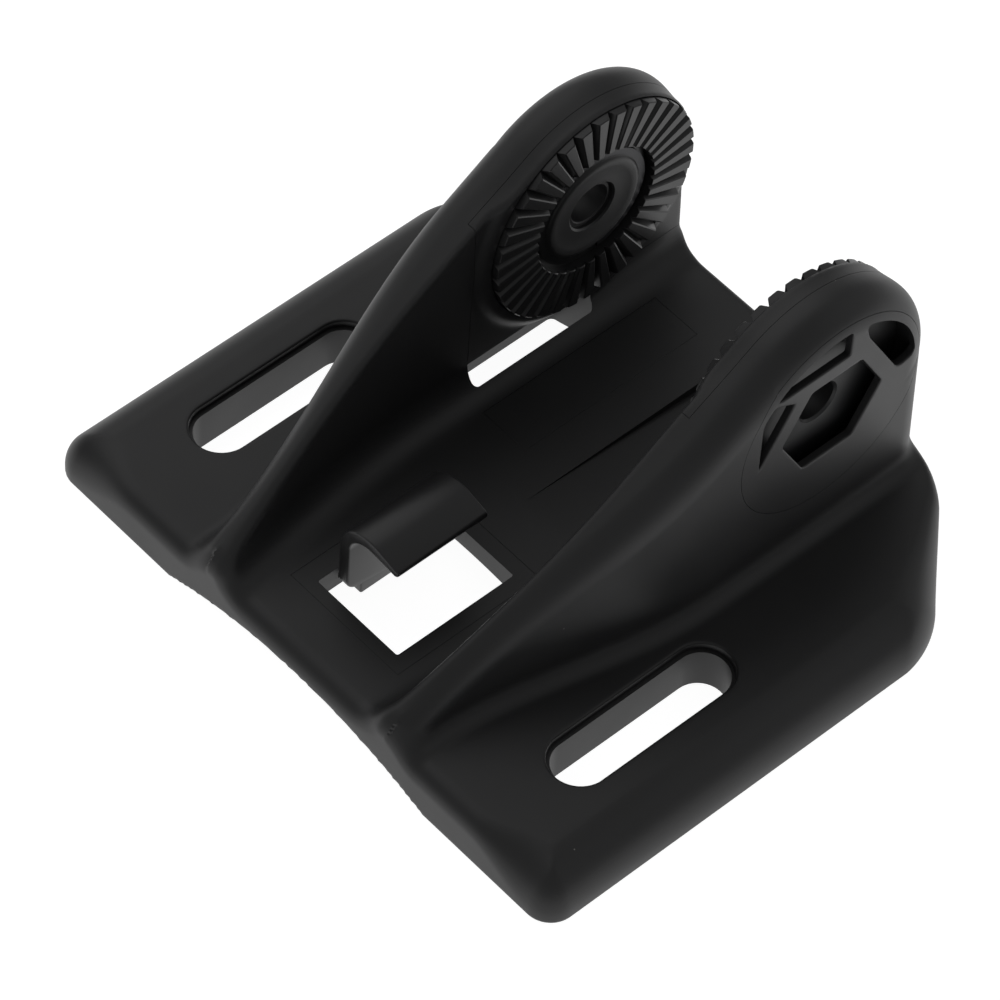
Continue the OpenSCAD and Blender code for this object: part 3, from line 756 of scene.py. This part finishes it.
def plastic(name, colour, roughness, grain=0.012, specks=True, coarse=9000):
    """Moulded plastic: fine grain, slow changes of tone and gloss, and a little dust where specks is set."""
    material = bpy.data.materials.new(name)
    material.use_nodes = True
    tree = material.node_tree
    shader = tree.nodes["Principled BSDF"]
    shader.inputs["IOR"].default_value = 1.5
    shader.inputs["Specular IOR Level"].default_value = 0.35
    node, wire = tree.nodes.new, tree.links.new
    place = node("ShaderNodeTexCoord")

    def noise(scale, detail):
        texture = node("ShaderNodeTexNoise")
        texture.inputs["Scale"].default_value = scale
        texture.inputs["Detail"].default_value = detail
        wire(place.outputs["Object"], texture.inputs["Vector"])
        return texture

    def spread(source, low, high, to_low, to_high):
        remap = node("ShaderNodeMapRange")
        for key, value in zip(("From Min", "From Max", "To Min", "To Max"), (low, high, to_low, to_high)):
            remap.inputs[key].default_value = value
        wire(source, remap.inputs["Value"])
        return remap.outputs["Result"]

    cloud, fine = noise(90, 3), noise(coarse, 2)
    dots = node("ShaderNodeTexVoronoi")
    dots.inputs["Scale"].default_value = 420
    wire(place.outputs["Object"], dots.inputs["Vector"])
    dot = spread(dots.outputs["Distance"], 0.03, 0.045, 1, 0)
    pick = node("ShaderNodeSeparateColor")
    wire(dots.outputs["Color"], pick.inputs[0])
    rare = spread(pick.outputs[0], 0.93, 0.935, 0, 0.4)
    dust = node("ShaderNodeMath")
    dust.operation = "MULTIPLY"
    wire(dot, dust.inputs[0])
    wire(rare, dust.inputs[1])

    shade = node("ShaderNodeMix")
    shade.data_type = "RGBA"
    shade.inputs["A"].default_value = (*[c * 0.85 for c in colour], 1)
    shade.inputs["B"].default_value = (*[c * 1.15 for c in colour], 1)
    wire(cloud.outputs["Fac"], shade.inputs["Factor"])
    dusty = node("ShaderNodeMix")
    dusty.data_type = "RGBA"
    dusty.inputs["B"].default_value = (0.35, 0.34, 0.32, 1)
    wire(shade.outputs["Result"], dusty.inputs["A"])
    if specks:
        wire(dust.outputs[0], dusty.inputs["Factor"])
    else:
        dusty.inputs["Factor"].default_value = 0
    wire(dusty.outputs["Result"], shader.inputs["Base Color"])
    gloss = spread(cloud.outputs["Fac"], 0.3, 0.7, roughness - 0.03, roughness + 0.03)
    wire(gloss, shader.inputs["Roughness"])
    bump = node("ShaderNodeBump")
    bump.inputs["Strength"].default_value = 0.5
    bump.inputs["Distance"].default_value = grain * MM
    wire(fine.outputs["Fac"], bump.inputs["Height"])
    wire(bump.outputs["Normal"], shader.inputs["Normal"])
    return material


def steel(name, colour, roughness):
    """Strip steel with a faint, even grain."""
    material = plastic(name, colour, roughness, 0.004, False, 14000)
    material.node_tree.nodes["Principled BSDF"].inputs["Metallic"].default_value = 1
    return material


def dress(obj, material):
    obj.data.materials.clear()
    obj.data.materials.append(material)


def make_materials():
    return {
        "body_plastic": plastic("body_plastic", (0.013, 0.013, 0.0135), 0.46),
        "insert_plastic": plastic("insert_plastic", (0.011, 0.011, 0.0115), 0.38, 0.006),
        "cap_plastic": plastic("cap_plastic", (0.013, 0.013, 0.0135), 0.44, 0.010),
        "ratchet_nylon": plastic("ratchet_nylon", (0.012, 0.012, 0.0125), 0.34, 0.006, False),
        "hub_nylon": plastic("hub_nylon", (0.008, 0.008, 0.0085), 0.45, 0.008, False),
        "black_steel": steel("black_steel", (0.03, 0.03, 0.032), 0.4),
        "spring_steel": steel("spring_steel", (0.42, 0.42, 0.44), 0.32),
    }


# ---- stage ----

def make_stage():
    centre = Vector([(a + b) / 2 for a, b in zip(*cad_box)])
    half = 1.2
    mesh = bpy.data.meshes.new("floor")
    corners = [(-half, -half, 0), (half, -half, 0), (half, half, 0), (-half, half, 0)]
    mesh.from_pydata(corners, [], [(0, 1, 2, 3)])
    floor = bpy.data.objects.new("floor", mesh)
    bpy.context.scene.collection.objects.link(floor)
    white = bpy.data.materials.new("floor_white")
    white.use_nodes = True
    shader = white.node_tree.nodes["Principled BSDF"]
    shader.inputs["Base Color"].default_value = (0.3, 0.3, 0.3, 1)
    shader.inputs["Roughness"].default_value = 0.9
    shader.inputs["Emission Color"].default_value = (1, 1, 1, 1)
    shader.inputs["Emission Strength"].default_value = 0.95
    mesh.materials.append(white)

    world = bpy.data.worlds.new("studio")
    bpy.context.scene.world = world
    world.use_nodes = True
    tree = world.node_tree
    view, split, fade = (tree.nodes.new(kind) for kind in
                         ("ShaderNodeTexCoord", "ShaderNodeSeparateXYZ", "ShaderNodeMapRange"))
    tree.links.new(view.outputs["Generated"], split.inputs[0])
    tree.links.new(split.outputs["Z"], fade.inputs["Value"])
    for key, value in (("From Min", 0.0), ("From Max", 0.7), ("To Min", 0.25), ("To Max", 0.36)):
        fade.inputs[key].default_value = value
    tree.links.new(fade.outputs["Result"], tree.nodes["Background"].inputs["Strength"])
    tree.nodes["Background"].inputs["Color"].default_value = (1, 1, 1, 1)

    def softbox(name, azimuth, elevation, distance, size, power):
        light = bpy.data.lights.new(name, "AREA")
        light.shape, light.size, light.size_y, light.energy = "RECTANGLE", size[0], size[1], power
        a, e = math.radians(azimuth), math.radians(elevation)
        away = Vector((math.sin(a) * math.cos(e), -math.cos(a) * math.cos(e), math.sin(e)))
        obj = bpy.data.objects.new(name, light)
        obj.matrix_world = (away.to_track_quat("Z", "Y").to_matrix().to_4x4())
        obj.matrix_world.translation = centre + away * distance
        bpy.context.scene.collection.objects.link(obj)

    softbox("left", -95, 48, 0.9, (1.1, 0.9), 2.1)
    softbox("back_right", 150, 35, 0.9, (0.9, 0.6), 0.4)
    bpy.context.scene.view_settings.view_transform = "Standard"


# ---- assembly ----

def main():
    place_camera()
    materials = make_materials()
    shells = make_shells()
    right = {
        "ear_liner": (shells["right_ear_liner_shell"], "base", "body_plastic"),
        "side_cap": (shells["right_side_cap_shell"], "base", "cap_plastic"),
        "hub": (make_hub(), "base", "hub_nylon"),
        "ratchet_ring": (make_ratchet_ring(materials["ratchet_nylon"]), "ring", "ratchet_nylon"),
    }
    for part, (obj, body, slot) in right.items():
        for side in ("right", "left"):
            shown = obj if side == "right" else mirrored(obj, obj.name.replace("right", "left"))
            dress(shown, materials[slot])
            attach(shown, "base" if body == "base" else side + "_ring")
            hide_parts(f"{side}_{part}")
    for obj, node, slot in ((shells["base_shell"], "base_body", "body_plastic"),
                            (make_insert(), "window_insert", "body_plastic"),
                            (make_hook(), "cable_hook", "insert_plastic"),
                            (make_pad(), "floor_pad", "body_plastic")):
        dress(obj, materials[slot])
        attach(obj, "base")
        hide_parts(node)
    for side in ("left", "right"):
        for part, slot in (("snap_ring", "black_steel"), ("ratchet_spring", "spring_steel")):
            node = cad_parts[f"{side}_{part}"]
            node.data.materials.clear()
            node.data.materials.append(materials[slot])
    make_stage()


main()
